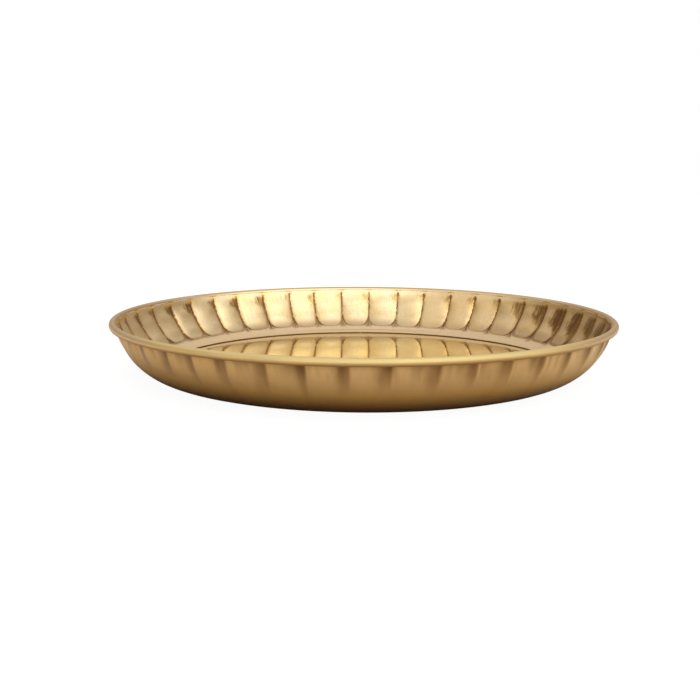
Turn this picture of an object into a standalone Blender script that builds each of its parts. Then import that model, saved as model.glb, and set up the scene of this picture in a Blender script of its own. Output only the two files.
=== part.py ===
"""Small round brass tray with a fluted wall and a wired rim.

Units are metres, +Z is up and the tray stands on the plane Z = 0.
The dish is one sheet of brass: floor, wall and rolled rim. The rim is rolled over a ring of wire.
"""

import math

import bmesh
import bpy
from mathutils import Vector

# Driving dimensions
RIM_RADIUS = 0.0762
HEIGHT = 0.0165
BEAD_RADIUS = 0.0011
SHEET_AT_FLOOR = 0.0008
SHEET_AT_RIM = 0.0005
BASE_RADIUS = 0.0600
COVE_REACH = 0.0066
WALL_REACH = 0.0075
WALL_LEAN = math.radians(6.6)

# Step round the floor, from the flat middle up to the cove
STEP_RADIUS = 0.0618
STEP_RUN = 0.0001
STEP_RISE = 0.0003
COVE_START = 0.0622

# Flutes
FLUTES = 44
SEGMENTS_PER_FLUTE = 4
CREASE_TURN = 1
FLUTE_DEPTH = 0.0008
FLUTE_FOOT = 0.0022
FLUTE_FULL = 0.0060
FLUTE_FADE = 0.0120
FLUTE_TOP = HEIGHT - 2 * BEAD_RADIUS
FLUTE_ROUNDNESS = 0.7

# Rolled rim and its wire
HEM_ANGLE = math.radians(-115)
WIRE_RADIUS = 0.0004
WIRE_SIDES = 8

# Mesh steps
SEGMENTS = FLUTES * SEGMENTS_PER_FLUTE
INNER_WALL_STEPS = 6
OUTER_WALL_STEPS = 5
BEAD_STEPS = (180, 135, 90, 45, 0, -45, -90)
BORE_STEPS = (-60, 0, 60, 120, 180)
MERGE_DISTANCE = 0.00001

BRASS = (0.78, 0.57, 0.24, 1.0)


def clear_scene():
    for obj in list(bpy.data.objects):
        bpy.data.objects.remove(obj, do_unlink=True)


def make_collection(name):
    collection = bpy.data.collections.new(name)
    bpy.context.scene.collection.children.link(collection)
    return collection


def brass_material(name, roughness):
    material = bpy.data.materials.new(name)
    material.use_nodes = True
    shader = material.node_tree.nodes["Principled BSDF"]
    shader.inputs["Base Color"].default_value = BRASS
    shader.inputs["Metallic"].default_value = 1.0
    shader.inputs["Roughness"].default_value = roughness
    return material


def bead_centre():
    return Vector((RIM_RADIUS - BEAD_RADIUS, HEIGHT - BEAD_RADIUS))


def on_circle(centre, radius, angle):
    return centre + Vector((math.cos(angle), math.sin(angle))) * radius


def wall_curve():
    """Control points of the outside of the wall, from the base to the rim, as (radius, height)."""
    top = bead_centre() + Vector((SHEET_AT_RIM - BEAD_RADIUS, 0.0))
    lean = Vector((math.sin(WALL_LEAN), math.cos(WALL_LEAN)))
    base = Vector((BASE_RADIUS, 0.0))
    return base, base + Vector((COVE_REACH, 0.0)), top - lean * WALL_REACH, top


def wall_point(t):
    p0, p1, p2, p3 = wall_curve()
    s = 1.0 - t
    return p0 * s**3 + p1 * 3 * s * s * t + p2 * 3 * s * t * t + p3 * t**3


def wall_normal(t):
    """Direction from the outside of the sheet to its inside."""
    p0, p1, p2, p3 = wall_curve()
    s = 1.0 - t
    along = (p1 - p0) * s * s + (p2 - p1) * 2 * s * t + (p3 - p2) * t * t
    return Vector((-along.y, along.x)).normalized()


def inner_wall_point(t):
    sheet = SHEET_AT_FLOOR + (SHEET_AT_RIM - SHEET_AT_FLOOR) * t
    return wall_point(t) + wall_normal(t) * sheet


def dish_profile():
    """Section of the sheet as (radius, height), from the middle of the floor round the rim to the base."""
    floor = SHEET_AT_FLOOR
    inner_wall = [inner_wall_point(i / INNER_WALL_STEPS) for i in range(INNER_WALL_STEPS)]
    inner_wall = [p for p in inner_wall if p.x > COVE_START]
    outer_wall = [wall_point(1 - i / OUTER_WALL_STEPS) for i in range(1, OUTER_WALL_STEPS + 1)]
    centre = bead_centre()
    bore = BEAD_RADIUS - SHEET_AT_RIM
    points = [Vector((0.0, floor))]
    points.append(Vector((STEP_RADIUS, floor)))
    points.append(Vector((STEP_RADIUS + STEP_RUN, floor + STEP_RISE)))
    points += inner_wall
    points += [on_circle(centre, BEAD_RADIUS, math.radians(a)) for a in BEAD_STEPS]
    points.append(on_circle(centre, BEAD_RADIUS, HEM_ANGLE))
    points.append(on_circle(centre, bore, HEM_ANGLE))
    points += [on_circle(centre, bore, math.radians(a)) for a in BORE_STEPS]
    points += outer_wall
    points.append(Vector((0.0, 0.0)))
    return points


def smooth_step(low, high, value):
    t = min(max((value - low) / (high - low), 0.0), 1.0)
    return t * t * (3 - 2 * t)


def flute_depth(height):
    """Full depth on the wall, fading to nothing on the cove and under the rim."""
    return FLUTE_DEPTH * smooth_step(FLUTE_FOOT, FLUTE_FULL, height) * (
        1 - smooth_step(FLUTE_FADE, FLUTE_TOP, height)
    )


def press_flutes(mesh):
    """Moves the wall in towards the axis between the creases, both faces of the sheet together."""
    for vertex in mesh.vertices:
        depth = flute_depth(vertex.co.z)
        if depth == 0.0:
            continue
        radius = math.hypot(vertex.co.x, vertex.co.y)
        turn = round(math.atan2(vertex.co.y, vertex.co.x) / math.tau * SEGMENTS)
        place = (turn + CREASE_TURN) % SEGMENTS_PER_FLUTE / SEGMENTS_PER_FLUTE
        pressed = depth * math.sin(math.pi * place) ** FLUTE_ROUNDNESS
        vertex.co.x -= pressed * vertex.co.x / radius
        vertex.co.y -= pressed * vertex.co.y / radius


def make_dish(collection):
    points = dish_profile()
    outline = bpy.data.meshes.new("dish_profile")
    outline.from_pydata([(p.x, 0, p.y) for p in points], [(i, i + 1) for i in range(len(points) - 1)], [])
    turned = bpy.data.objects.new("dish_turned", outline)
    collection.objects.link(turned)
    screw = turned.modifiers.new("turn", "SCREW")
    screw.axis = "Z"
    screw.steps = SEGMENTS
    screw.render_steps = SEGMENTS
    screw.use_merge_vertices = True
    screw.merge_threshold = MERGE_DISTANCE
    bpy.context.view_layer.update()
    depsgraph = bpy.context.evaluated_depsgraph_get()
    mesh = bpy.data.meshes.new_from_object(turned.evaluated_get(depsgraph))
    bpy.data.objects.remove(turned, do_unlink=True)
    mesh.name = "dish"
    press_flutes(mesh)
    face_outwards(mesh)
    dish = bpy.data.objects.new("dish", mesh)
    dish.data.materials.append(brass_material("polished_brass", 0.15))
    collection.objects.link(dish)
    return dish


def face_outwards(mesh):
    shape = bmesh.new()
    shape.from_mesh(mesh)
    bmesh.ops.recalc_face_normals(shape, faces=shape.faces)
    shape.to_mesh(mesh)
    shape.free()


def make_rim_wire(collection):
    centre = bead_centre()
    bpy.ops.mesh.primitive_torus_add(
        major_segments=SEGMENTS,
        minor_segments=WIRE_SIDES,
        major_radius=centre.x,
        minor_radius=WIRE_RADIUS,
        location=(0.0, 0.0, centre.y),
    )
    wire = bpy.context.active_object
    wire.name = "rim_wire"
    for owner in list(wire.users_collection):
        owner.objects.unlink(wire)
    collection.objects.link(wire)
    wire.data.materials.append(brass_material("drawn_brass", 0.35))
    return wire


def main():
    clear_scene()
    tray = make_collection("brass_tray")
    make_dish(tray)
    make_rim_wire(tray)


main()
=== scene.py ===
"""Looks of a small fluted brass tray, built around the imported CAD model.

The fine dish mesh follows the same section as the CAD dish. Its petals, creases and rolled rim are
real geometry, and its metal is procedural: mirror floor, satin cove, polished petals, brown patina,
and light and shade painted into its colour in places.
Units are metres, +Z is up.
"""

import math

import bpy
import numpy as np
from mathutils import Matrix, Vector


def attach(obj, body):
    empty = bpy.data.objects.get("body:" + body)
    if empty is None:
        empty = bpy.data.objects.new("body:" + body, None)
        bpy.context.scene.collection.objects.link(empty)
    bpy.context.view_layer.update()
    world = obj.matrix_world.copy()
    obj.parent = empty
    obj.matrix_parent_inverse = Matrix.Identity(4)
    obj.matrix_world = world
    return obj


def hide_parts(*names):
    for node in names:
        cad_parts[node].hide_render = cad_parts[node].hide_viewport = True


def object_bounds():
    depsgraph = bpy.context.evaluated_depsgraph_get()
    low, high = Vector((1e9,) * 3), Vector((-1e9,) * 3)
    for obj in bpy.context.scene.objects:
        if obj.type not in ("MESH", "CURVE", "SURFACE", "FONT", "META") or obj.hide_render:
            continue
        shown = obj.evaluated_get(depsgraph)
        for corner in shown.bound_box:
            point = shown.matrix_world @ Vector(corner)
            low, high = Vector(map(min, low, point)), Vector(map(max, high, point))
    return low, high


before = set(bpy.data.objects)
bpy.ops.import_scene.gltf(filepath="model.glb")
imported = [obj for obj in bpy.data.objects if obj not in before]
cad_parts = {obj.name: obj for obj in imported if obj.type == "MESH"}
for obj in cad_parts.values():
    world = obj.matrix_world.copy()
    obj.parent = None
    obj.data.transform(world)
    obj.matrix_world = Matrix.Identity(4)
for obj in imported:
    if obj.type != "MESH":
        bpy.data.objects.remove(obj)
cad_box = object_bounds()

# The section of the sheet, as in the CAD model
RIM_RADIUS = cad_box[1].x
HEIGHT = cad_box[1].z
BEAD_RADIUS = 0.0011
SHEET_AT_FLOOR = 0.0008
SHEET_AT_RIM = 0.0005
BASE_RADIUS = 0.0600
COVE_REACH = 0.0066
WALL_REACH = 0.0075
WALL_LEAN = math.radians(6.6)
STEP_RADIUS = 0.0618
STEP_RISE = 0.0003
STEP_ROUND = 0.00012
COVE_START = 0.0622
HEM_ANGLE = -115  # degrees, where the rolled sheet ends

# Petals
PETALS = 44
CREASE_FROM_BACK = math.radians(1.83)
SPACING_DRIFT = 0.0075
SPACING_JITTER = math.radians(0.28)
PETAL_DEPTH = 0.00085
PETAL_FOOT = 0.0043
PETAL_ROUND = 0.0056
PETAL_SIDES = 4.5
PETAL_BOTTOM = 1.6
PETAL_DOME = 2.2
PETAL_SWELL = 0.0050
PETAL_FLATNESS = 0.9
PETAL_FOOT_LIFT = 0.4
PETAL_TOP_FADE = 0.0055
PETAL_TOP_GAP = 0.0002
CREASE_DEPTH = 0.00011
CREASE_WIDTH = 0.00045
CREASE_FOOT = (0.0030, 0.0050)
CREASE_TOP = (0.0013, 0.0004)

# Flutes outside, opposite the petals
FLUTE_DEPTH = 0.00047
FLUTE_FOOT = 0.0045
FLUTE_FULL = 0.0120
FLUTE_TOP = (0.0030, 0.0016)
FLUTE_SHARPNESS = 1.25

# How much one petal differs from the next
LIFT_RANGE = (0.88, 1.06)
LEAN_SPREAD = 0.14
FOOT_SPREAD = 0.00018
ROUNDING_RANGE = (0.85, 1.15)

# Mesh steps
FLOOR_RADII = (0.008, 0.024, 0.040, 0.052, 0.059, 0.0612)
BASE_RADII = (0.056, 0.030, 0.008)
COLUMNS_PER_PETAL = 18
CREASE_CROWDING = 0.62
WALL_ROWS = 50
ROW_CROWDING = 0.7
ROW_CROWD_AT = 0.27
ROW_CROWD_SPREAD = 0.15
OUTSIDE_ROWS = 22
BEAD_ROWS = 22
BORE_ROWS = 7

# Camera
CAMERA_DISTANCE = 0.30616
CAMERA_ELEVATION = math.radians(9.4515)
CAMERA_AIM_HEIGHT = 0.008
CAMERA_YAW = math.radians(-0.7452)
CAMERA_PITCH = math.radians(-0.523)
CAMERA_ROLL = math.radians(0.2976)
CAMERA_LENS = 50.91
CAMERA_SENSOR = 36.0

# The petals' own values, drawn once and in this order
rng = np.random.default_rng(44)
petal_lift = rng.uniform(*LIFT_RANGE, PETALS)
petal_lean = rng.normal(0, LEAN_SPREAD, PETALS)
petal_foot = rng.normal(0, FOOT_SPREAD, PETALS)
petal_rounding = rng.uniform(*ROUNDING_RANGE, PETALS)
petal_lot = rng.uniform(0, 1, PETALS)


# ---------------------------------------------------------------- section

def bead_centre():
    return np.array([RIM_RADIUS - BEAD_RADIUS, HEIGHT - BEAD_RADIUS])


def wall_outside(t):
    """Points on the outside of the wall as (radius, height), t from 0 at the base to 1 at the rim."""
    t = np.asarray(t)[:, None]
    top = bead_centre() + np.array([SHEET_AT_RIM - BEAD_RADIUS, 0.0])
    base = np.array([BASE_RADIUS, 0.0])
    knee = base + np.array([COVE_REACH, 0.0])
    shoulder = top - WALL_REACH * np.array([math.sin(WALL_LEAN), math.cos(WALL_LEAN)])
    s = 1 - t
    return base * s**3 + knee * 3 * s * s * t + shoulder * 3 * s * t * t + top * t**3


def inward_normals(points):
    along = np.gradient(points, axis=0)
    along /= np.linalg.norm(along, axis=1)[:, None]
    return np.stack([-along[:, 1], along[:, 0]], axis=1)


def lengths_along(points):
    steps = np.linalg.norm(np.diff(points, axis=0), axis=1)
    return np.concatenate([[0.0], np.cumsum(steps)])


def resample(points, count, crowd=None):
    """The same line with count points, evenly spaced or crowded by a weight at each fraction."""
    s = lengths_along(points)
    at = np.linspace(0, 1, count)
    if crowd is not None:
        fine = np.linspace(0, 1, 2001)
        weight = np.cumsum(crowd(fine))
        at = np.interp(at, (weight - weight[0]) / (weight[-1] - weight[0]), fine)
    return np.stack([np.interp(at * s[-1], s, points[:, i]) for i in (0, 1)], axis=1)


def wall_inside_line():
    t = np.linspace(0, 1, 400)
    outside = wall_outside(t)
    sheet = SHEET_AT_FLOOR + (SHEET_AT_RIM - SHEET_AT_FLOOR) * t[:, None]
    inside = outside + inward_normals(outside) * sheet
    inside = inside[inside[:, 0] > COVE_START]
    inside[-1] = bead_centre() - np.array([BEAD_RADIUS, 0.0])
    return inside


def circle(centre, radius, start, stop, count):
    angles = np.radians(np.linspace(start, stop, count))
    return centre + radius * np.stack([np.cos(angles), np.sin(angles)], axis=1)


def step_line():
    """The floor's flat edge, a rounded inner corner, the riser and its rounded top."""
    low = np.array([STEP_RADIUS, SHEET_AT_FLOOR])
    up = np.array([0.0, STEP_RISE])
    corner = circle(low + np.array([-STEP_ROUND, STEP_ROUND]), STEP_ROUND, -90, -10, 4)
    edge = circle(low + up + np.array([STEP_ROUND, -STEP_ROUND]), STEP_ROUND, 170, 105, 4)
    return np.concatenate([corner, edge])


def crowd_at_petal_foot(x):
    """How closely rows lie at each fraction of the wall; closest at the petals' rounded ends."""
    return 1 + ROW_CROWDING * np.exp(-(((x - ROW_CROWD_AT) / ROW_CROWD_SPREAD) ** 2))


def section():
    """Rows of the whole closed section, and where each zone starts and ends."""
    floor = np.array([[radius, SHEET_AT_FLOOR] for radius in FLOOR_RADII])
    wall = resample(wall_inside_line(), WALL_ROWS, crowd_at_petal_foot)
    centre = bead_centre()
    bead = circle(centre, BEAD_RADIUS, 180, HEM_ANGLE, BEAD_ROWS)[1:]
    bore = circle(centre, BEAD_RADIUS - SHEET_AT_RIM, HEM_ANGLE, 180, BORE_ROWS)
    outside = resample(wall_outside(np.linspace(1, 0, 400)), OUTSIDE_ROWS)[1:]
    base = np.array([[radius, 0.0] for radius in BASE_RADII])
    parts = [
        ("floor", floor),
        ("step", step_line()),
        ("wall", wall),
        ("bead", bead),
        ("bore", bore),
        ("outside", outside),
        ("base", base),
    ]
    zones = {}
    start = 0
    for name, rows in parts:
        zones[name] = slice(start, start + len(rows))
        start += len(rows)
    return np.concatenate([rows for _, rows in parts]), zones


WALL_LENGTH = lengths_along(wall_inside_line())[-1]


# ---------------------------------------------------------------- petals

def smooth(low, high, x):
    t = np.clip((x - low) / (high - low), 0, 1)
    return t * t * (3 - 2 * t)


def crease_angles():
    """Angles of the creases, anticlockwise from +X, with a spacing that drifts and jitters a little."""
    even = np.arange(PETALS + 1) * math.tau / PETALS
    from_back = even + CREASE_FROM_BACK - SPACING_DRIFT * np.sin(2 * even)
    jitter = rng.normal(0, SPACING_JITTER, PETALS)
    from_back[:-1] += jitter
    from_back[-1] += jitter[0]
    return math.pi / 2 - from_back


def columns():
    """For each column: its angle, its place across its petal from 0 to 1, and its petal's number."""
    creases = crease_angles()
    x = np.arange(COLUMNS_PER_PETAL) / COLUMNS_PER_PETAL
    place = x - CREASE_CROWDING * np.sin(math.tau * x) / math.tau
    angles, places, numbers = [], [], []
    for k in range(PETALS):
        angles.append(creases[k] + (creases[k + 1] - creases[k]) * place)
        places.append(place)
        numbers.append(np.full(COLUMNS_PER_PETAL, k))
    return np.concatenate(angles), np.concatenate(places), np.concatenate(numbers)


def petal_field(place, number, along, width):
    """How full the petal is, 0 at its edge to 1 in its middle, and the distance inside its outline.

    The outline is where |across| ** PETAL_SIDES + below ** PETAL_BOTTOM is 1.
    """
    foot = PETAL_FOOT + petal_foot[number]
    rounding = PETAL_ROUND * petal_rounding[number]
    across = 2 * place - 1
    off_middle = np.maximum(np.abs(across), 0.001)
    below = np.clip((foot + rounding - along) / rounding, 0, None)

    half_width = np.clip(1 - below**PETAL_BOTTOM, 1e-6, 1) ** (1 / PETAL_SIDES)
    fullness = np.clip(1 - (off_middle / half_width) ** PETAL_DOME, 0, 1) ** PETAL_FLATNESS
    fullness = fullness * np.clip(1 - below**PETAL_DOME, 0, 1)
    swell = smooth(foot, foot + PETAL_SWELL, along)
    fullness = fullness * (PETAL_FOOT_LIFT + (1 - PETAL_FOOT_LIFT) * swell)

    outline = off_middle**PETAL_SIDES + below**PETAL_BOTTOM
    slope_across = PETAL_SIDES * off_middle ** (PETAL_SIDES - 1) / (width / 2)
    slope_along = PETAL_BOTTOM * below ** (PETAL_BOTTOM - 1) / rounding
    to_outline = (1 - outline) / np.hypot(slope_across, slope_along)
    to_crease = (1 - off_middle) * width / 2
    return fullness * (1 + petal_lean[number] * across), np.minimum(to_outline, to_crease)


def build_rows():
    """The section's rows and zones; each column's angle, place and petal; then, at each row and
    column of the mesh, its radius, its height and its distance inside the petals' outline.
    """
    rows, zones = section()
    angle, place, number = columns()
    radius = np.repeat(rows[:, :1], len(angle), axis=1)
    height = np.repeat(rows[:, 1:], len(angle), axis=1)
    edge = np.full_like(radius, -1.0)

    wall = rows[zones["wall"]]
    normal = inward_normals(wall)
    along = lengths_along(wall)[:, None]
    width = wall[:, :1] * math.tau / PETALS
    fullness, edge[zones["wall"]] = petal_field(place[None, :], number[None, :], along, width)
    end = along[-1]
    fade = 1 - smooth(end - PETAL_TOP_FADE, end - PETAL_TOP_GAP, along)
    lift = PETAL_DEPTH * petal_lift[number][None, :] * fullness * fade
    top_end = 1 - smooth(end - CREASE_TOP[0], end - CREASE_TOP[1], along)
    foot_end = smooth(*CREASE_FOOT, along)
    groove = np.exp(-((edge[zones["wall"]] / CREASE_WIDTH) ** 2))
    lift -= CREASE_DEPTH * groove * top_end * foot_end
    radius[zones["wall"]] += normal[:, :1] * lift
    height[zones["wall"]] += normal[:, 1:] * lift

    outer = rows[zones["outside"]]
    normal = -inward_normals(outer)
    up = outer[:, 1:]
    hollow = np.sin(math.pi * place[None, :]) ** FLUTE_SHARPNESS
    press = FLUTE_DEPTH * petal_lift[number][None, :] * hollow
    top_end = 1 - smooth(HEIGHT - FLUTE_TOP[0], HEIGHT - FLUTE_TOP[1], up)
    press = press * smooth(FLUTE_FOOT, FLUTE_FULL, up) * top_end
    radius[zones["outside"]] += normal[:, :1] * press
    height[zones["outside"]] += normal[:, 1:] * press
    return rows, zones, angle, place, number, radius, height, edge


def grid_faces(row_count, column_count):
    """Quads between neighbouring rows and columns, as corner rows and corner columns.

    The last column's quads join it to the first again, as column number column_count.
    """
    row, column = np.mgrid[: row_count - 1, :column_count]
    rows = np.stack([row, row, row + 1, row + 1], axis=-1).reshape(-1, 4)
    columns = np.stack([column, column + 1, column + 1, column], axis=-1).reshape(-1, 4)
    return rows, columns


def make_dish():
    rows, zones, angle, place, number, radius, height, edge = build_rows()
    row_count, column_count = radius.shape
    points = np.stack([radius * np.cos(angle), radius * np.sin(angle), height], axis=2).reshape(-1, 3)
    top = len(points)
    points = np.concatenate([points, [[0, 0, SHEET_AT_FLOOR], [0, 0, 0]]])
    corner_row, corner_column = grid_faces(row_count, column_count)
    quads = corner_row * column_count + corner_column % column_count
    first = np.arange(column_count)
    last = first + (row_count - 1) * column_count
    faces = quads.tolist()
    faces += [[top, int(b), int(a)] for a, b in zip(first, np.roll(first, -1))]
    faces += [[top + 1, int(a), int(b)] for a, b in zip(last, np.roll(last, -1))]
    mesh = bpy.data.meshes.new("dish_fine")
    mesh.from_pydata(points.tolist(), [], faces)

    # One material for each group of zones, in the order in which main() adds them
    zone_of_row = np.zeros(row_count, int)
    groups = (("floor", "step"), ("wall",), ("bead", "bore"), ("outside", "base"))
    for index, names in enumerate(groups):
        for name in names:
            zone_of_row[zones[name]] = index
    slots = np.repeat(np.minimum(zone_of_row[:-1], zone_of_row[1:]), column_count)
    slots = np.concatenate([slots, np.zeros(column_count, int), np.full(column_count, 3)])
    mesh.polygons.foreach_set("material_index", slots.astype(np.int32))
    mesh.polygons.foreach_set("use_smooth", np.ones(len(slots), bool))
    layer = mesh.attributes.new("edge", "FLOAT", "POINT")
    layer.data.foreach_set("value", np.concatenate([edge.reshape(-1), [-1, -1]]).astype(np.float32))

    # Two maps of the sheet: metres around and along it (height, on the outside), and the place
    # across a petal from -1 to 1 with the petal's random lot
    corner_petal = number[corner_column[:, :1] % column_count]
    across = 2 * np.concatenate([place, [0]])[corner_column] - 1
    across[(corner_column % COLUMNS_PER_PETAL == 0) & (corner_column > corner_column[:, :1])] = 1
    around = np.unwrap(np.concatenate([angle, angle[:1] - math.tau]))[corner_column] * RIM_RADIUS
    along = np.zeros(row_count)
    along[zones["wall"]] = lengths_along(rows[zones["wall"]])
    along[zones["bead"]] = WALL_LENGTH + lengths_along(rows[zones["bead"]])
    along[zones["outside"]] = rows[zones["outside"], 1]
    set_map(mesh, "sheet", around, along[corner_row])
    set_map(mesh, "petal", across, np.repeat(petal_lot[corner_petal], 4, axis=1))
    mesh.validate()
    mesh.update()
    dish = bpy.data.objects.new("dish_fine", mesh)
    bpy.context.scene.collection.objects.link(dish)
    return dish


def set_map(mesh, name, u, v):
    """A UV map from two numbers at each corner of the quads; the fans at the centre keep zeros."""
    values = np.zeros((len(mesh.loops), 2), np.float32)
    values[: u.size] = np.stack([u.reshape(-1), v.reshape(-1)], axis=1)
    mesh.uv_layers.new(name=name).data.foreach_set("uv", values.reshape(-1))


# ---------------------------------------------------------------- materials

class Field:
    """A number that varies over a surface. It adds and multiplies like a float, as Math nodes do."""

    def __init__(self, tree, socket):
        self.tree = tree
        self.socket = socket

    def math(self, operation, *others):
        node = self.tree.nodes.new("ShaderNodeMath")
        node.operation = operation
        for socket, value in zip(node.inputs, (self, *others)):
            join(self.tree, value, socket)
        return Field(self.tree, node.outputs[0])

    def __add__(self, other):
        return self.math("ADD", other)

    def __mul__(self, other):
        return self.math("MULTIPLY", other)

    def __sub__(self, other):
        return self.math("SUBTRACT", other)

    def __rsub__(self, other):
        return self * -1 + other

    def __abs__(self):
        return self.math("ABSOLUTE")

    __radd__ = __add__
    __rmul__ = __mul__

    def rise(self, low, high):
        """0 below low and 1 above high, smoothly; it falls instead where low is the larger."""
        node = self.tree.nodes.new("ShaderNodeMapRange")
        node.interpolation_type = "SMOOTHSTEP"
        for socket, value in zip(node.inputs, (self, low, high, 0.0, 1.0)):
            join(self.tree, value, socket)
        return Field(self.tree, node.outputs[0])


def join(tree, value, socket):
    """Link a field or a socket to an input, or set the input's own value."""
    if isinstance(value, Field):
        value = value.socket
    if isinstance(value, bpy.types.NodeSocket):
        tree.links.new(value, socket)
    else:
        socket.default_value = value


class Metal:
    """One procedural material, built up as a color with coats of other colors over it."""

    def __init__(self, name, color):
        self.material = bpy.data.materials.new(name)
        self.material.use_nodes = True
        self.tree = self.material.node_tree
        self.shader = self.tree.nodes["Principled BSDF"]
        self.color = color

    def add(self, kind, inputs, **settings):
        node = self.tree.nodes.new(kind)
        for key, value in settings.items():
            setattr(node, key, value)
        for name, value in inputs.items():
            join(self.tree, value, node.inputs[name])
        return node

    def attribute(self, name):
        return Field(self.tree, self.add("ShaderNodeAttribute", {}, attribute_name=name).outputs["Fac"])

    def split(self, vector):
        parts = self.add("ShaderNodeSeparateXYZ", {0: vector}).outputs
        return [Field(self.tree, part) for part in parts]

    def map(self, name):
        return self.split(self.add("ShaderNodeUVMap", {}, uv_map=name).outputs[0])[:2]

    def position(self):
        return self.split(self.add("ShaderNodeTexCoord", {}).outputs["Object"])

    def noise(self, x, y, z, detail=2.0, rough=0.5):
        """Noise from 0 to 1 with features about one unit wide in x, y and z."""
        vector = self.add("ShaderNodeCombineXYZ", {0: x, 1: y, 2: z}).outputs[0]
        inputs = {"Vector": vector, "Scale": 1.0, "Detail": detail, "Roughness": rough}
        return Field(self.tree, self.add("ShaderNodeTexNoise", inputs).outputs["Fac"])

    def coat(self, amount, color):
        """Lay another color over the present one; the amount is a field from 0 to 1."""
        node = self.add("ShaderNodeMix", {0: amount, 6: self.color, 7: color}, data_type="RGBA")
        self.color = node.outputs[2]

    def bump(self, height, strength, distance):
        bump = self.add("ShaderNodeBump", {"Height": height, "Strength": strength, "Distance": distance})
        join(self.tree, bump.outputs["Normal"], self.shader.inputs["Normal"])

    def finish(self, roughness, metallic=1.0):
        join(self.tree, self.color, self.shader.inputs["Base Color"])
        join(self.tree, roughness, self.shader.inputs["Roughness"])
        join(self.tree, metallic, self.shader.inputs["Metallic"])
        return self.material


# Colors of the coats
MIRROR = (0.82, 0.715, 0.36, 1)
GOLD = (0.88, 0.70, 0.38, 1)
PALE = (0.88, 0.74, 0.48, 1)
SATIN = (0.78, 0.66, 0.48, 1)
WARM = (0.80, 0.57, 0.27, 1)
TAN = (0.62, 0.43, 0.25, 1)
ORANGE = (0.95, 0.60, 0.14, 1)
FILM_AND_SHADE = (0.48, 0.37, 0.23, 1)
BROWN = (0.31, 0.175, 0.065, 1)
DARK = (0.10, 0.05, 0.018, 1)
OCHRE = (0.62, 0.41, 0.12, 1)
LINE = (0.19, 0.088, 0.022, 1)
RIM = (0.60, 0.48, 0.23, 1)
TOP_HIGHLIGHT = (0.82, 0.71, 0.37, 1)
HIGHLIGHT_CREAM = (0.93, 0.84, 0.56, 1)
GREY_REFLECTION = (0.62, 0.49, 0.36, 1)
BRONZE = (0.60, 0.43, 0.215, 1)
AMBER = (0.64, 0.39, 0.085, 1)
DARK_BRONZE = (0.36, 0.22, 0.10, 1)
UMBER = (0.18, 0.073, 0.009, 1)

MM = 1000
HALF_PETAL = 5.0  # mm, about half a petal's width
LOT_STEP = 60  # spreads the petals' lots, so that each has noise of its own


def line(distance, half_width):
    """1 on a line, 0 beyond its half width."""
    return abs(distance).rise(half_width, half_width * 0.35)


def floor_brass():
    """Mirror polish with faint warm clouds and specks, a dark line of patina in the step, and a pale
    ring of painted highlight inside it, standing in for the step edge's reflection.
    """
    m = Metal("brass_mirror_floor", MIRROR)
    x, y = m.position()[:2]
    x, y = x * MM, y * MM
    radius = (x * x + y * y).math("SQRT")
    cloud = m.noise(x * 0.05, y * 0.05, 0, 4)
    mottle = m.noise(x * 0.25, y * 0.25, 7, 4, 0.65)
    m.coat(cloud.rise(0.42, 0.7) * 0.4, WARM)
    m.coat(mottle.rise(0.5, 0.75) * 0.4, WARM)
    m.coat(mottle.rise(0.62, 0.8) * cloud.rise(0.4, 0.6) * 0.5, TAN)
    specks = m.noise(x * 0.9, y * 0.9, 5, 1).rise(0.74, 0.80)
    m.coat(specks * 0.8, BROWN)
    from_riser = radius - (STEP_RADIUS * MM - 0.03)
    # Painted highlight: a pale ring on the floor inside the step, standing in for its edge's reflection
    m.coat(line(from_riser + 2.4, 1.4) * 0.6, HIGHLIGHT_CREAM)
    riser = from_riser.rise(-1.05, -0.5) * from_riser.rise(0.11, 0.06)
    riser = riser * (0.6 + m.noise(x * 0.3, y * 0.3, 9, 3).rise(0.15, 0.4) * 0.4)
    m.coat(riser * 0.95, DARK)
    m.bump(m.noise(x * 0.035, y * 0.035, 0), 0.03, 0.001)
    rough = 0.045 + cloud.rise(0.3, 0.8) * 0.04 + mottle.rise(0.5, 0.8) * 0.05 + riser * 0.4
    return m.finish(rough)


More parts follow.
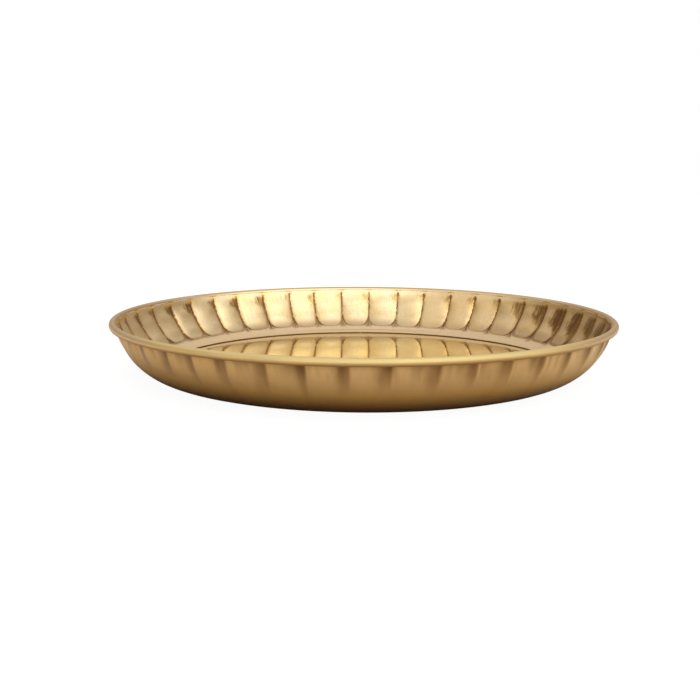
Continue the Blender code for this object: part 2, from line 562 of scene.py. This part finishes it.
def petal_brass():
    """Polished petals, satin cove below them; brown patina in the creases and in streaks next to them,
    the streaks partly painted shade; more painted light and shade by side, at the feet, and under the
    rim.
    """
    m = Metal("brass_petals", GOLD)
    around, along = m.map("sheet")
    across, lot = m.map("petal")
    around, along, edge = around * MM, along * MM, m.attribute("edge") * MM
    x = m.position()[0] * (1 / RIM_RADIUS)
    total = WALL_LENGTH * MM
    petal = lot * LOT_STEP

    cloud = m.noise(around * 0.16, along * 0.16, 0, 3)
    streak = m.noise(around * 2.2, along * 0.16, petal, 3, 0.6)
    rings = m.noise(around * 0.015, along * 3.2, 4, 3)
    mottle = m.noise(around * 0.8, along * 0.5, 11, 4, 0.65)
    grain = m.noise(around * 3.5, along * 2.2, 21, 2, 0.7)
    m.coat(cloud.rise(0.36, 0.62), PALE)
    m.coat(streak.rise(0.45, 0.75) * 0.35, WARM)
    m.coat(mottle.rise(0.46, 0.68) * 0.5, WARM)
    m.coat(grain.rise(0.5, 0.72) * 0.25, OCHRE)
    cove = edge.rise(0.1, -0.2)
    # Painted shade: the petals darker towards their feet, and rougher there
    film_and_shade = along.rise(9.5, 5.0) * (1 - cove)
    m.coat(film_and_shade * 0.9, FILM_AND_SHADE)
    m.coat(cove * 0.95, SATIN)
    m.coat(rings.rise(0.35, 0.75) * 0.12, FILM_AND_SHADE)
    m.coat(line(along - 1.9, 0.3) * abs(x).rise(0.45, 0.1) * 0.4, BROWN)

    # Brown smears hug one side of each crease near the rim, heaviest at the tray's two ends: partly
    # patina, partly painted shade standing in for the darker reflections at the ends
    left = (0 - x).rise(0.15, 0.6)
    right = x.rise(0.53, 0.80)
    ends = left * 0.7 + right
    ragged = m.noise(around * 0.5, along * 0.35, 31, 3, 0.6) - 0.5
    from_crease = (1 - across) * HALF_PETAL
    down = total - along
    length = 6.0 + ends * 1.0 + right * 3.4 + (lot - 0.5) * 3 + (mottle - 0.5) * 4
    taper = (length - down).rise(-0.5, 4.5) * 0.75 + (length - down).rise(-1.0, 1.0) * 0.25
    breadth = 3.0 + ends * 1.8 + right * 0.8 + ragged * 5 + (streak - 0.5) * 2
    smear_and_shade = (breadth * taper - from_crease).rise(-1.4, 4.2) * (0.45 + streak.rise(0.35, 0.6) * 0.55)
    over = line(1 + across, 0.3) * right * taper * 0.6
    smear_and_shade = smear_and_shade.math("MAXIMUM", over) * down.rise(0.4, 2.2)
    # Painted shade: one side of every petal darker above its foot, more at the tray's two ends
    m.coat(across.rise(0, 0.9) * along.rise(4.5, 8.5) * (0.08 + ends * 0.14), BROWN)

    # Warmer towards each petal's creases; then painted light and shade by x, from -1 at the tray's left
    # to 1 at its right: paler at the left, warmer and yellower right of centre, darker at the right end
    m.coat(abs(across).rise(0.4, 1.0) * (1 - cove) * (0.15 + mottle.rise(0.4, 0.6) * 0.25), WARM)
    m.coat(x.rise(0.12, 0.32) * x.rise(0.75, 0.4) * (1 - cove) * 0.4, WARM)
    m.coat(x.rise(0.0, 0.15) * x.rise(0.45, 0.25) * (1 - cove) * 0.25, HIGHLIGHT_CREAM)
    m.coat(x.rise(-0.45, -0.75) * (1 - cove) * 0.6, PALE)
    m.coat(x.rise(0.5, 0.85) * (1 - cove) * 0.18, TAN)
    m.coat(x.rise(0.80, 0.95) * (1 - cove) * 0.3, BROWN)

    # The smears themselves, patina and painted shade, darkest at the two ends
    m.coat(smear_and_shade.rise(0, 0.5) * 0.7, OCHRE)
    m.coat(smear_and_shade.rise(0, 0.8) * (0.25 + lot.rise(0.3, 0.8) * 0.5 + ends * 0.5), BROWN)
    darkest = smear_and_shade.rise(0.15, 1.0) * (left * 0.6 + right * 0.8)
    m.coat(darkest * (0.6 + grain.rise(0.4, 0.6) * 0.4), DARK)

    # The crease line wanders, breaks and splits at its foot, one arm stronger than the other by the side
    # of the tray as painted shade, with brown crumbs in the wedge between the arms
    wander = (m.noise(around * 0.9, along * 0.9, 7, 3) - 0.5) * 0.8
    broken = m.noise(around * 0.4, along * 0.45, 2, 2)
    aside = (1 - abs(across)) * HALF_PETAL
    upright = abs(across).rise(0.3, 0.8)
    lateral = across.math("SIGN") * edge * -1
    below_fork = along.rise(8.6, 7.4)
    faint = below_fork * (across * x).rise(0.15, -0.2) * 0.55
    broad = 0.1 + broken * 0.5 + ends * 0.1 + abs(x).rise(0.6, 0.9) * 0.35
    arc = (1 - upright) * (0.6 + x.rise(0.4, 0.7) * 0.35)
    crease = line(lateral + wander, broad) * (1 - arc) * (1 - faint)
    crease = crease * (0.55 + broken.rise(0.3, 0.5) * 0.45) * along.rise(total - 0.4, total - 1.0)
    tail = line(aside + wander * 0.8, 0.28) * along.rise(4.3, 5.2) * below_fork
    tail = tail * edge.rise(0.05, -0.1) * (0.35 + abs(x).rise(0.25, 0.45) * 0.65)
    # Painted shade: a soft brown band along each crease near the rim, wider and darker at the two ends
    crease_shade = line(lateral, 0.9 + ends * 0.6) * (0.12 + ends * 0.4) * along.rise(total - 0.6, total - 1.6)
    m.coat(crease_shade * (1 - cove) * (1 - smear_and_shade), BROWN)
    halo = line(lateral, 1.5) * mottle.rise(0.5, 0.62) * (1 - cove)
    m.coat(halo * (1 - smear_and_shade) * 0.4, OCHRE)
    wedge = aside.rise(1.9, 0.5) * cove * along.rise(3.2, 4.6)
    m.coat(wedge * (0.3 + grain.rise(0.42, 0.6) * 0.65), BROWN)
    m.coat(wedge * grain.rise(0.48, 0.58) * 0.6, LINE)
    crackle = grain.rise(0.57, 0.65) * abs(edge).rise(1.3, 0.2) * along.rise(9.5, 7.0) * 0.5

    # Where the creases end under the rim: short dashes of painted shadow under the ledge, dark knobs,
    # and painted warm glints
    up = along - (total - 1.0) + wander * 0.3
    ledge_shadow = (aside * aside + up * up * 30).rise(1.4, 0.6) * (0 - x).rise(0.05, 0.25)
    glint_sides = (0 - x).rise(0.42, 0.55) + x.rise(0.6, 0.8) * 0.4
    glint = (aside * aside + up * up * 4).rise(1.8, 0.5) * glint_sides
    low = along - (total - 1.6) + wander
    knob = (aside * aside + low * low).rise(1.0, 0.2) * x.rise(0.1, 0.3)
    m.coat(ledge_shadow * 0.7, BROWN)
    m.coat(knob * 0.7, LINE)
    m.coat(glint * 0.9, ORANGE)
    marks = crease.math("MAXIMUM", tail).math("MAXIMUM", crackle)
    m.coat(marks * (0.88 - smear_and_shade * ends * 0.8), LINE)

    rough = 0.2 + film_and_shade * 0.12 + cove * 0.42 + smear_and_shade * 0.14 + marks * 0.3 + (cloud - 0.5) * 0.12
    m.bump(streak * 0.5 + rings * 0.3 + m.noise(around * 0.35, along * 0.35, 8, 2), 0.12, 0.0004)
    return m.finish(rough)


def rim_brass():
    """Painted reflection and shade: greyer at the tray's two ends, brown below, darker over the back;
    painted highlights on the front top and the inner face, a golden crown painted at the back.
    """
    m = Metal("brass_rim", RIM)
    x, y, z = m.position()
    cloud = m.noise(x * 70, y * 70, z * 70, 3)
    m.coat(cloud.rise(0.4, 0.65) * 0.3, WARM)
    # Painted highlight along the top of the bead in front
    m.coat(z.rise(HEIGHT - 0.0008, HEIGHT - 0.0001) * y.rise(0.03, -0.03) * 0.8, TOP_HIGHLIGHT)
    # Painted shade over the back half of the bead
    m.coat(y.rise(0.01, 0.06) * 0.4, DARK_BRONZE)
    radius = (x * x + y * y).math("SQRT")
    inner = radius.rise(RIM_RADIUS - 0.0012, RIM_RADIUS - 0.0019)
    # Painted highlight on the bead's inner face, except at the tray's two ends
    m.coat(inner * abs(x).rise(0.075, 0.06) * 0.85, PALE)
    # Painted reflection: a golden line along the crown of the bead at the back
    crown = z.rise(HEIGHT - 0.0006, HEIGHT - 0.0002) * y.rise(-0.01, 0.03)
    m.coat(crown * abs(x).rise(0.072, 0.055) * 0.75, OCHRE)
    # Painted reflection: greyer at the tray's two ends
    m.coat(abs(x).rise(0.045, 0.072) * (1 - inner * 0.6) * 0.9, GREY_REFLECTION)
    # Painted shade below the bead
    under = z.rise(HEIGHT - 0.0009, HEIGHT - 0.0020)
    m.coat(under * 0.7, BROWN)
    m.bump(m.noise(x * 200, y * 200, z * 200), 0.08, 0.0004)
    return m.finish(0.48 + under * 0.05 - inner * 0.2)


def outside_brass():
    """Duller bronze-brown skin, partly patina and partly painted shade, amber lower down; painted shade
    in soft streaks next to the flutes' ridges, under the bead and towards the foot; painted light on the
    right.
    """
    m = Metal("brass_outside", BRONZE)
    around, height = m.map("sheet")
    across, lot = m.map("petal")
    around, height = around * MM, height * MM
    x = m.position()[0] * (1 / RIM_RADIUS)
    streak = m.noise(around * 0.38, height * 0.09, lot * LOT_STEP, 0)
    cloud = m.noise(around * 0.12, height * 0.12, 3, 2)
    fine = m.noise(around * 1.6, height * 0.2, 9, 3)
    # Painted shade in soft bands next to each flute's ridge, mixed with random streaks and clouds
    shade = across.rise(0.3, -0.8) * across.rise(-1.0, -0.75) * height.rise(4.5, 11.5)
    dark = (shade * 0.85 + (streak - 0.5) * 0.5 + (cloud - 0.5) * 0.7).rise(-0.05, 1.05)
    # Painted light: lighter and yellower at the tray's right
    m.coat(x.rise(0.4, 0.7) * 0.3, GOLD)
    m.coat(height.rise(9.5, 5.0) * 0.55, AMBER)
    m.coat(dark * 0.9, DARK_BRONZE)
    m.coat(fine.rise(0.45, 0.8) * 0.06, DARK_BRONZE)
    # Painted shade under the bead, in soft streaks, and a dark band just below it
    smear_and_shade = height.rise(8.5, 14.5) * (shade * 0.7 + streak.rise(0.42, 0.7) * 0.4)
    m.coat(smear_and_shade * 0.8, DARK)
    m.coat(height.rise(12.6, 14.8) * 0.35, UMBER)
    blot = m.noise(around * 0.5, height * 0.14, 17, 1).rise(0.56, 0.76) * height.rise(6.5, 9.5)
    m.coat(blot * 0.12, UMBER)
    # Painted shade towards the foot
    foot = height.rise(6.8, 0.6)
    m.coat(foot * 0.88, UMBER)
    m.bump(streak * 0.3 + m.noise(around * 0.3, height * 0.3, 5), 0.1, 0.0005)
    return m.finish(0.4 + (cloud - 0.5) * 0.15)


def wire_brass():
    """Plain drawn wire, which only shows if the dish is taken away."""
    m = Metal("brass_wire", WARM)
    x, y, z = m.position()
    m.coat(m.noise(x * 300, y * 300, z * 300, 3).rise(0.35, 0.75), BRONZE)
    m.bump(m.noise(x * 900, y * 900, z * 5400), 0.1, 0.0003)
    return m.finish(0.35 + m.noise(x * 120, y * 120, z * 120) * 0.1)


# ---------------------------------------------------------------- studio

STUDIO_FLOOR_RADIUS = 3.0
STUDIO_FLOOR_DROP = 0.00005
STUDIO_FLOOR_NEAR = (0.32, 0.27, 0.21, 1)
STUDIO_FLOOR_FAR = (0.56, 0.50, 0.42, 1)
STUDIO_FLOOR_SEEN = (0.04, 0.04, 0.04, 1)
STUDIO_FLOOR_GLOW = 0.95


def make_floor():
    """A pale floor. The camera sees it white by its glow, on a dark base that keeps the tray's
    outline clean; reflections see a warm grey, brighter further off.
    """
    place = (0, 0, -STUDIO_FLOOR_DROP)
    bpy.ops.mesh.primitive_circle_add(
        vertices=96, radius=STUDIO_FLOOR_RADIUS, fill_type="NGON", location=place
    )
    floor = bpy.context.active_object
    floor.name = "studio_floor"
    m = Metal("pale_floor", STUDIO_FLOOR_NEAR)
    x, y = m.position()[:2]
    far = (x * x + y * y).math("SQRT").rise(0.10, 0.40)
    seen = Field(m.tree, m.add("ShaderNodeLightPath", {}).outputs["Is Camera Ray"])
    m.coat(far, STUDIO_FLOOR_FAR)
    m.coat(seen, STUDIO_FLOOR_SEEN)
    m.shader.inputs["Specular IOR Level"].default_value = 0.1
    m.shader.inputs["Emission Color"].default_value = (1, 1, 1, 1)
    join(m.tree, seen * STUDIO_FLOOR_GLOW, m.shader.inputs["Emission Strength"])
    floor.data.materials.append(m.finish(0.9, 0.0))


SKY_BASE = 0.44
SKY_TINT = (1.0, 0.80, 0.60)
# Soft boxes painted on the sky: azimuth (0 is -Y and 90 is +X), elevation, half angle of full
# strength, half angle of its edge, radiance
SKY_LOBES = (
    (32, 14, 14, 75, 1.28),
    (-46, 14, 8, 60, 0.50),
    (180, 74, 15, 65, 0.48),
)


def sky_direction(azimuth, elevation):
    a, e = math.radians(azimuth), math.radians(elevation)
    return Vector((math.sin(a) * math.cos(e), -math.cos(a) * math.cos(e), math.sin(e)))


def make_sky():
    """Soft white lights in a warm dim room, over a backdrop that shows plain white."""
    world = bpy.data.worlds.new("studio")
    bpy.context.scene.world = world
    world.use_nodes = True
    tree = world.node_tree

    def add(kind, inputs, **settings):
        node = tree.nodes.new(kind)
        for key, value in settings.items():
            setattr(node, key, value)
        for index, value in inputs.items():
            join(tree, value, node.inputs[index])
        return node

    def lobe(azimuth, elevation, full, edge, radiance):
        inputs = {0: way, 1: sky_direction(azimuth, elevation)}
        node = add("ShaderNodeVectorMath", inputs, operation="DOT_PRODUCT")
        toward = Field(tree, node.outputs["Value"])
        return toward.rise(math.cos(math.radians(edge)), math.cos(math.radians(full))) * radiance

    way = add("ShaderNodeTexCoord", {}).outputs["Generated"]
    lobes = sum(lobe(*values) for values in SKY_LOBES)
    room = [SKY_BASE * tint for tint in SKY_TINT]
    channels = {index: lobes + level for index, level in enumerate(room)}
    color = add("ShaderNodeCombineColor", channels).outputs[0]
    seen = add("ShaderNodeLightPath", {}).outputs["Is Camera Ray"]
    color = add("ShaderNodeMix", {0: seen, 6: color, 7: (1, 1, 1, 1)}, data_type="RGBA").outputs[2]
    join(tree, color, tree.nodes["Background"].inputs["Color"])


def make_floor_light():
    """Even light from above for the floor alone. The tray is all gloss, and gloss doesn't see it."""
    data = bpy.data.lights.new("floor_light", "SUN")
    data.energy = 5.5
    data.angle = math.radians(80)
    light = bpy.data.objects.new("floor_light", data)
    light.rotation_euler = (math.radians(8), math.radians(10), 0)
    light.visible_glossy = False
    bpy.context.scene.collection.objects.link(light)


def make_camera():
    aim = Vector((0, 0, CAMERA_AIM_HEIGHT))
    ahead = Vector((0, math.cos(CAMERA_ELEVATION), -math.sin(CAMERA_ELEVATION)))
    right = Vector((1, 0, 0))
    place = aim - ahead * CAMERA_DISTANCE
    up = right.cross(ahead)
    turn = Matrix.Rotation(-CAMERA_YAW, 3, up)
    ahead, right = turn @ ahead, turn @ right
    turn = Matrix.Rotation(CAMERA_PITCH, 3, right)
    ahead, up = turn @ ahead, turn @ up
    turn = Matrix.Rotation(-CAMERA_ROLL, 3, ahead)
    right, up = turn @ right, turn @ up
    data = bpy.data.cameras.new("camera")
    data.lens = CAMERA_LENS
    data.sensor_width = CAMERA_SENSOR
    data.clip_start = 0.01
    camera = bpy.data.objects.new("camera", data)
    camera.matrix_world = Matrix(
        [[right[i], up[i], -ahead[i], place[i]] for i in range(3)] + [[0, 0, 0, 1]]
    )
    bpy.context.scene.collection.objects.link(camera)
    bpy.context.scene.camera = camera


def main():
    make_camera()
    dish = make_dish()
    for material in (floor_brass(), petal_brass(), rim_brass(), outside_brass()):
        dish.data.materials.append(material)
    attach(dish, "root")
    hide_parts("dish")
    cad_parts["rim_wire"].material_slots[0].material = wire_brass()
    make_floor()
    make_sky()
    make_floor_light()
    bpy.context.scene.view_settings.view_transform = "Standard"


main()
